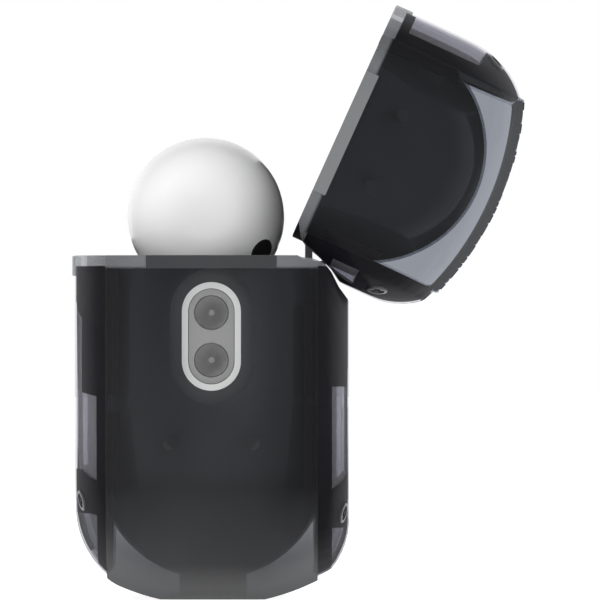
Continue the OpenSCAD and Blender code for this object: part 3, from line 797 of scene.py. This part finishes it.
def make_case_shells():
    body = cut(case_shell(CASE_BODY), prism(circle(2.65, (PIVOT.y / MM, PIVOT.z / MM)), "X", -BEYOND, BEYOND),
               box_at((8.9, 11.5), (SEAM - 1.5, SEAM + 1), (-9.35, 9.35)),
               prism(obround(5.6, 10.3, (0, LOOP_Z)), "X", 24, BEYOND),
               prism(circle(3.6, (0, BUTTON_Z)), "Y", 8, 20),
               prism(obround(9.1, 3.3), "Z", -3, 6), prism(circle(0.8, (0, 22)), "Y", -14, -8))
    place("case_body_outer_shell", body, "case", CASE_GREY, ["case_body_shell"])
    lid = cut(case_shell(CASE_LID), box_at((8, 12), (SEAM - 1, SEAM + 3.47), (-9.4, 9.4)))
    place("case_lid_outer_shell", lid, "case_lid", CASE_GREY, ["case_lid_shell"])


make_case_shells()

# %% [markdown]
# Panels and printed films are drawn flat in the front view, with their windows, and laid onto the form: the
# flat sheet is cut into narrow strips and every point is moved back to the form's surface. Then it gets its
# thickness. An image on the surface would be simpler, but a real sheet has edges that catch the light.

# %% Flat art laid on a form
def contour(form, rim, inset, side, y_from):
    """Front-view outline of the sheet's part that lies beyond y_from, up to a straight edge at the rim."""
    points = []
    reach = min(form.half_w, y_from * form.half_w / (form.half_w - inset))
    for k in range(121):
        point, normal, turn = form.outline(k / 120)
        point = point + normal * (form.inset_at(side * reach, turn) + inset)
        if (rim - point.y) * form.up >= 0:
            points.append((point.x, point.y))
    return [(points[0][0], rim), *points, (points[-1][0], rim)]


def clipped(window, border):
    """The part of a window inside a convex border, found by cutting along each of the border's edges."""
    area = sum(a[0] * b[1] - b[0] * a[1] for a, b in zip(border, border[1:] + border[:1]))
    hand = 1 if area > 0 else -1
    for a, b in zip(border, border[1:] + border[:1]):
        sides = [hand * ((b[0] - a[0]) * (p[1] - a[1]) - (b[1] - a[1]) * (p[0] - a[0])) for p in window]
        kept = []
        for k, point in enumerate(window):
            before, side_before = window[k - 1], sides[k - 1]
            if side_before * sides[k] < 0:
                f = side_before / (side_before - sides[k])
                kept.append(tuple(before[i] + (point[i] - before[i]) * f for i in (0, 1)))
            if sides[k] >= 0:
                kept.append(point)
        window = kept
    spaced = []
    for point in window:
        if not spaced or math.dist(point, spaced[-1]) > 0.05:
            spaced.append(point)
    return spaced


def thickened(bm, thickness):
    """Copies a sheet inwards along its normals and joins the two along the edges."""
    bm.normal_update()
    faces = list(bm.faces)
    rims = [edge.link_loops[0] for edge in bm.edges if edge.is_boundary]
    rims = [(loop.vert, loop.link_loop_next.vert) for loop in rims]
    under = {vert: bm.verts.new(vert.co - vert.normal * thickness) for vert in list(bm.verts)}
    for face in faces:
        bm.faces.new([under[vert] for vert in reversed(face.verts)])
    for a, b in rims:
        bm.faces.new((b, a, under[a], under[b]))
    return bm


def flat_sheet(side, outline, windows):
    """A flat sheet in the front view, filled between its outline and its windows."""
    bm = bmesh.new()
    for loop in [outline, *windows]:
        verts = [bm.verts.new((x, 0, z)) for x, z in loop]
        for k, vert in enumerate(verts):
            bm.edges.new((vert, verts[(k + 1) % len(verts)]))
    bmesh.ops.remove_doubles(bm, verts=bm.verts, dist=0.001)
    bmesh.ops.triangle_fill(bm, use_beauty=True, edges=bm.edges, normal=(0, side, 0))
    return bm


def sliced(bm, axis, step):
    """Cuts a sheet across into strips, so that it can bend."""
    normal = [0, 0, 0]
    normal[axis] = 1
    at = min(v.co[axis] for v in bm.verts) + step
    end = max(v.co[axis] for v in bm.verts)
    while at < end:
        spot = [0, 0, 0]
        spot[axis] = at
        geometry = list(bm.verts) + list(bm.edges) + list(bm.faces)
        bmesh.ops.bisect_plane(bm, geom=geometry, dist=0.0001, plane_co=spot, plane_no=normal)
        at += step


def art(form, side, outline, windows, inset, thickness):
    """A sheet with windows, laid on the form at an inset and given a thickness inwards."""
    bm = flat_sheet(side, outline, windows)
    sliced(bm, 0, 1.2)
    sliced(bm, 2, 0.9)
    bmesh.ops.remove_doubles(bm, verts=bm.verts, dist=0.03)
    for vert in bm.verts:
        vert.co.y = form.depth_at(vert.co.x, vert.co.z, side, inset)
    for face in bm.faces:
        face.normal_update()
    if sum(face.normal.y * face.calc_area() for face in bm.faces) * side < 0:
        bmesh.ops.reverse_faces(bm, faces=bm.faces)
    return thickened(bm, thickness)


# %% [markdown]
# The windows of the four prints. Each is an outline in the front view, drawn once and mirrored where it
# comes in pairs. Points that lie past the print's frame are only there to be clipped off by it.

# %% Windows in the prints
def mirrored(points):
    return [points, [(-x, z) for x, z in points]]


FRONT_WINDOWS = [
    *mirrored([(22.8, 27), (22.8, 20), (30, 19.1), (30, 9.2), (21, 12.6), (9, 12.6), (5, 15.5), (5, 19.5),
               (9, 22), (17, 30)]),
    [(-30, 7), (-20.5, 8.4), (-10, 8.4), (-6, 4.6), (6, 4.6), (10, 8.4), (20.5, 8.4), (30, 7), (30, 2.2),
     (-30, 2.2)],
]
BACK_WINDOWS = [
    *mirrored([(20.5, 22.2), (20.5, 20.5), (30, 20.5), (30, 8), (19.5, 12), (14, 12), (8, 16), (8, 19),
               (12, 22.2)]),
    *mirrored([(30, 5.2), (21.5, 7), (11, 7), (8, 4.4), (19, 2.2), (30, 2.2)]),
    [(-12, 27.5), (12, 27.5), (8.5, 23.5), (-8.5, 23.5)],
]
LID_FRONT_WINDOWS = [
    [(-30, 2.35), (-30, 7.6), (-20, 9.9), (-10, 9.9), (-7, 12), (7, 12), (10, 9.9), (20, 9.9), (30, 7.6),
     (30, 2.35)],
]
LID_BACK_WINDOWS = [
    *mirrored([(30, 7.4), (19, 7.4), (22.5, 4.6), (30, 4.6)]),
    [(-9, 9.5), (9, 9.5), (6, 7.2), (-6, 7.2)],
]


def lifted(windows):
    """The windows of the lid, drawn from the seam, at their height in the closed case."""
    return [[(x, SEAM + n) for x, n in window] for window in windows]


print(sum(map(len, (FRONT_WINDOWS, BACK_WINDOWS, LID_FRONT_WINDOWS, LID_BACK_WINDOWS))), "windows drawn")

# %% [markdown]
# Two cross-head screws decorate each panel. One is modelled: a disc with a bevelled rim, a sunk middle and
# two crossed slots. It is then stood on the panel where the form has the wanted depth, and mirrored to the
# other end.

# %% Screws
SCREW_R = 1.0


def seat(form, side, depth, z):
    """The matrix that stands a screw on the form, at the place with a given height and depth."""
    low, high = 0.0, form.half_l
    for _ in range(30):
        x = (low + high) / 2
        if abs(form.depth_at(x, z, side)) > depth:
            low = x
        else:
            high = x
    here = Vector((low, form.depth_at(low, z, side), z))
    step = 0.2
    along_x = Vector((step, form.depth_at(low + step, z, side) - here.y, 0))
    along_z = Vector((0, form.depth_at(low, z + step, side) - here.y, step))
    normal = along_x.cross(along_z).normalized()
    if normal.y * side < 0:
        normal.negate()
    return Matrix.Translation(here) @ normal.to_track_quat("Z", "Y").to_matrix().to_4x4()


def disc(r, low, high, matrix, bevel=0.0):
    bm = bmesh.new()
    bmesh.ops.create_cone(bm, cap_ends=True, segments=48, radius1=r, radius2=r, depth=high - low)
    bmesh.ops.translate(bm, vec=(0, 0, (low + high) / 2), verts=bm.verts)
    if bevel:
        rim = [edge for edge in bm.edges if all(v.co.z > high - 0.001 for v in edge.verts)]
        bmesh.ops.bevel(bm, geom=rim, offset=bevel, offset_type="OFFSET", affect="EDGES", segments=3,
                        profile=0.5, material=-1)
    bmesh.ops.transform(bm, matrix=matrix, verts=bm.verts)
    return bm


def screw(matrix):
    """A small decorative screw: a head with a raised rim and a cross recess."""
    head = disc(SCREW_R, -0.65, 0.02, Matrix.Identity(4), bevel=0.12)
    slots = [disc(SCREW_R * 0.72, -0.12, 0.5, Matrix.Identity(4))]
    for angle in (45, 135):
        slot = bmesh.new()
        bmesh.ops.create_cube(slot, size=1)
        bmesh.ops.scale(slot, vec=(1.25, 0.34, 0.8), verts=slot.verts)
        bmesh.ops.rotate(slot, matrix=Matrix.Rotation(math.radians(angle), 3, "Z"), verts=slot.verts)
        slots.append(slot)
    head = cut(head, *slots)
    bmesh.ops.transform(head, matrix=matrix, verts=head.verts)
    return head


# %% [markdown]
# Each of the four plates is a clear panel with a black print just under its face. In the windows of the
# print lie thin milky lenses. border is the depth past which no window reaches, so that a black edge stays
# all round.

# %% Panels, prints and window lenses
LOWERED = 0.4         # a panel's outline lies this far inside the cover's
PRINT_DEPTH = 0.12    # how far the print lies under the panel's outer face
BODY_RIM = SEAM - 1.05
LID_RIM = SEAM + 1.4
PLATES = [
    dict(name="body_front", form=COVER_BODY, side=-1, rim=BODY_RIM, windows=FRONT_WINDOWS, border=10.95,
         body="cover_body", screw_at=(12.55, 9.6), openings=[]),
    dict(name="body_back", form=COVER_BODY, side=1, rim=BODY_RIM, windows=BACK_WINDOWS, border=11.45,
         body="cover_body", screw_at=(12.65, 8.4), openings=[hinge_relief, button_window]),
    dict(name="lid_front", form=COVER_LID, side=-1, rim=LID_RIM, windows=lifted(LID_FRONT_WINDOWS),
         border=11.2, body="lid_cover", screw_at=(12.35, SEAM + 11.1), openings=[]),
    dict(name="lid_back", form=COVER_LID, side=1, rim=LID_RIM, windows=lifted(LID_BACK_WINDOWS),
         border=11.3, body="lid_cover", screw_at=(12.4, SEAM + 9.7), openings=[lid_relief]),
]


def make_plate(name, form, side, rim, windows, border, body, screw_at, openings):
    low = form.lowered(LOWERED)
    frame_line = contour(low, rim, PRINT_DEPTH, side, border)
    windows = [clipped(window, frame_line) for window in windows]
    windows = [window for window in windows if len(window) > 2]
    panel = art(low, side, contour(low, rim, 0, side, BAND), [], 0, 0.7)
    film = art(low, side, contour(low, rim, PRINT_DEPTH, side, BAND), windows, PRINT_DEPTH, 0.3)
    lenses = joined(*[art(low, side, window, [], PRINT_DEPTH + 0.05, 0.2) for window in windows])
    right = seat(low, side, *screw_at)
    mirror = Matrix.Scale(-1, 4, (1, 0, 0))
    seats = [right, mirror @ right @ mirror]
    for kind, bm, slot, material, nodes in (
            ("panel_sheet", panel, "smoked_panel", PANEL, [f"{name}_panel"]),
            ("trim_sheet", film, "black_print", PRINT, [f"{name}_trim"]),
            ("window_lenses", lenses, "smoked_panel", WINDOW, [])):
        holes = [disc(SCREW_R + 0.04, -1.6, 0.6, at) for at in seats]
        bm = cut(bm, *holes, *[opening() for opening in openings])
        place(f"{name}_{kind}", bm, body, material, nodes)
    screws = joined(*[screw(at) for at in seats])
    place(f"{name}_cross_screws", screws, body, SCREW, [f"{name}_screws"])
    print(name, "with", len(windows), "windows, screw at", [round(v, 1) for v in right.to_translation()])


for plate in PLATES:
    make_plate(**plate)

# %% [markdown]
# Each panel has dark tongues that reach under the clear band and hold the panel in its frame. They lie
# inside the clear wall and show as dark strips beside the band's edge.

# %% Tongues under the band
TONGUE_REACH = (8.9, 10.02)


def tongues(form, side, spans):
    """Strips inside the wall at both ends, each between two distances from the seam along the outline."""
    parts = []
    for start, end in spans:
        for hand in (-1, 1):
            along = sorted((hand * (form.run - start), hand * (form.run - end)))
            parts.append(patch(form, along, sorted(side * y for y in TONGUE_REACH), 0.9, 0.25, (24, 3)))
    return joined(*parts)


def make_tongues():
    front = tongues(COVER_BODY, -1, [(1.2, 13.8), (15.8, 27)])
    back = tongues(COVER_BODY, 1, [(4.7, 14), (14.8, 27)])
    place("cover_body_panel_tongues", joined(front, back), "cover_body", PRINT)
    front = tongues(COVER_LID, -1, [(1.2, 13)])
    back = tongues(COVER_LID, 1, [(4.5, 13)])
    place("cover_lid_panel_tongues", joined(front, back), "lid_cover", PRINT)


make_tongues()

# %% [markdown]
# Along the lid's crown runs a strip of bluish clear plastic with a pattern of dark blocks near its face. A
# loop lays the blocks like bricks of uneven length, and leaves some out. From the end they show as short
# navy pieces.

# %% Top strip
def make_strip():
    blocks, y = [], -STRIP_Y + 0.1
    while y < STRIP_Y - 0.5:
        deep = min(random.uniform(0.5, 1.5), STRIP_Y - 0.1 - y)
        x = -STRIP_X + 0.2
        while x < STRIP_X - 1:
            wide = min(random.uniform(2, 7), STRIP_X - 0.2 - x)
            if random.random() < 0.85:
                inset, thickness = random.choice((-0.02, 0.02, 0.06)), random.uniform(0.35, 0.5)
                area = (x, x + wide - 0.3), (y, y + deep - 0.18)
                blocks.append(patch(COVER_LID, *area, inset, thickness, (3, 3)))
            x += wide
        y += deep
    print(len(blocks), "blocks on the strip")
    place("lid_top_strip_blocks", joined(*blocks), "lid_cover", NAVY)
    sheet = patch(COVER_LID, (-STRIP_X, STRIP_X), (-STRIP_Y, STRIP_Y), 0.12, 0.62, (16, 40))
    place("lid_top_strip_sheet", sheet, "lid_cover", BLUE_CLEAR, ["lid_top_strip"])


make_strip()

# %% [markdown]
# The case's inner parts come from the CAD model. Its cradle and liner are cut back to the rounder inside of
# the smooth shells, so that no corner pokes out.

# %% Cradle and liner inside the smooth shells
INNER_GAP = CASE_WALL + 0.05


def make_inner_parts():
    body_room = solid_form(CASE_BODY.grown(-INNER_GAP), CASE_HALF_WIDTH - INNER_GAP)
    cradle = cut(cad_copy("case_cradle", "case"), body_room, operation="INTERSECT")
    place("case_cradle_moulding", cradle, "case", CRADLE, ["case_cradle"])
    lid_room = solid_form(CASE_LID.grown(-INNER_GAP), CASE_HALF_WIDTH - INNER_GAP)
    liner = cut(cad_copy("case_lid_liner", "case_lid"), lid_room, operation="INTERSECT")
    place("case_lid_liner_moulding", liner, "case_lid", CRADLE, ["case_lid_liner"])


make_inner_parts()

# %% [markdown]
# The ring, the earbuds, the hinge and the parts inside are already right in the CAD model. They keep their
# mesh and only get a finish, because a second copy could drift from the CAD model.

# %% Finishes for the carried-over nodes
FINISHES = {
    RING: ["lanyard_ring"],
    PLATE: ["lanyard_plate"],
    PAD: ["body_seam_pads"],
    # painted light: the lid's pads take the lighter copy of the pad colour
    LIT_PAD_PAINTED: ["lid_seam_pads"],
    BUMPER: ["body_spacer_dots", "lid_spacer_dots"],
    STEEL: ["battery_cell", "charge_port", "case_magnets", "hinge_leaf_body", "hinge_pin", "lid_magnets",
            "hinge_leaf_lid", "left_stem_contact", "right_stem_contact"],
    BOARD: ["main_board"],
    BLACK: ["port_tongue", "case_speaker", "lanyard_pocket", "button_switch"],
    COPPER: ["charge_coil"],
    GOLD: ["charging_contacts"],
    LENS: ["status_lens"],
    CASE_GREY: ["setup_button"],
    WHITE: ["left_bud_head", "right_bud_head", "left_bud_stem", "right_bud_stem"],
    SILICONE: ["left_ear_tip", "right_ear_tip"],
    MESH: ["left_vent_mesh", "right_vent_mesh", "left_mic_grille", "right_mic_grille"],
}
for finish, names in FINISHES.items():
    for node in names:
        fixed = frame["nodes"][node]
        fixed.data.materials.clear()
        fixed.data.materials.append(finish)
print(sum(map(len, FINISHES.values())), "CAD nodes have a finish")

# %% [markdown]
# The studio: a pale floor, a white surround that dims behind the camera, and three soft lamps. The floor
# and the lamps are kept out of reflections, so that the clear plastic mirrors only the even surround.

# %% Floor, world and lamps
def add_floor():
    bm = bmesh.new()
    bmesh.ops.create_grid(bm, x_segments=1, y_segments=1, size=3)
    bmesh.ops.translate(bm, vec=(0, 0, -0.00002), verts=bm.verts)
    mesh = bpy.data.meshes.new("floor")
    bm.to_mesh(mesh)
    bm.free()
    floor = bpy.data.objects.new("floor", mesh)
    material, nodes, links = new_material("pale_floor")
    surface = add(nodes, "ShaderNodeBsdfPrincipled", Roughness=0.9)
    surface.inputs["Base Color"].default_value = (0.6, 0.6, 0.6, 1)
    surface.inputs["Emission Color"].default_value = (1, 1, 1, 1)
    surface.inputs["Emission Strength"].default_value = 0.9
    out = nodes.new("ShaderNodeOutputMaterial")
    links.new(surface.outputs[0], out.inputs["Surface"])
    mesh.materials.append(material)
    bpy.context.scene.collection.objects.link(floor)
    floor.visible_glossy = False


def add_world():
    world = bpy.data.worlds.new("studio")
    bpy.context.scene.world = world
    world.use_nodes = True
    nodes, links = world.node_tree.nodes, world.node_tree.links
    nodes.clear()
    where = nodes.new("ShaderNodeTexCoord")
    split = nodes.new("ShaderNodeSeparateXYZ")
    links.new(where.outputs["Generated"], split.inputs[0])
    ramp = colour_ramp(nodes, [(0.0, grey(1.0)), (0.12, grey(1.0)), (0.3, grey(0.18)), (1.0, grey(0.25))])
    spread = nodes.new("ShaderNodeMapRange")
    spread.inputs["From Min"].default_value = -1
    links.new(split.outputs["X"], spread.inputs["Value"])
    links.new(spread.outputs["Result"], ramp.inputs["Fac"])
    background = nodes.new("ShaderNodeBackground")
    links.new(ramp.outputs["Color"], background.inputs["Color"])
    out = nodes.new("ShaderNodeOutputWorld")
    links.new(background.outputs[0], out.inputs["Surface"])


def add_lamp(name, place_mm, aim_mm, size_mm, watts):
    data = bpy.data.lights.new(name, "AREA")
    data.shape = "RECTANGLE"
    data.size = size_mm[0] * MM
    data.size_y = size_mm[1] * MM
    data.energy = watts
    lamp = bpy.data.objects.new(name, data)
    lamp.location = Vector(place_mm) * MM
    lamp.visible_glossy = False
    lamp.rotation_mode = "QUATERNION"
    lamp.rotation_quaternion = (Vector(aim_mm) - Vector(place_mm)).to_track_quat("-Z", "Y")
    bpy.context.scene.collection.objects.link(lamp)


add_floor()
add_world()
add_lamp("key", (260, -260, 300), (0, 0, 30), (220, 220), 1.0)
add_lamp("back_strip", (180, 330, 160), (0, 8, 30), (80, 260), 0.5)
add_lamp("front_fill", (420, 60, 60), (0, 0, 30), (260, 200), 0.55)
bpy.context.scene.view_settings.view_transform = "Standard"
print(len(bpy.data.lights), "lamps")
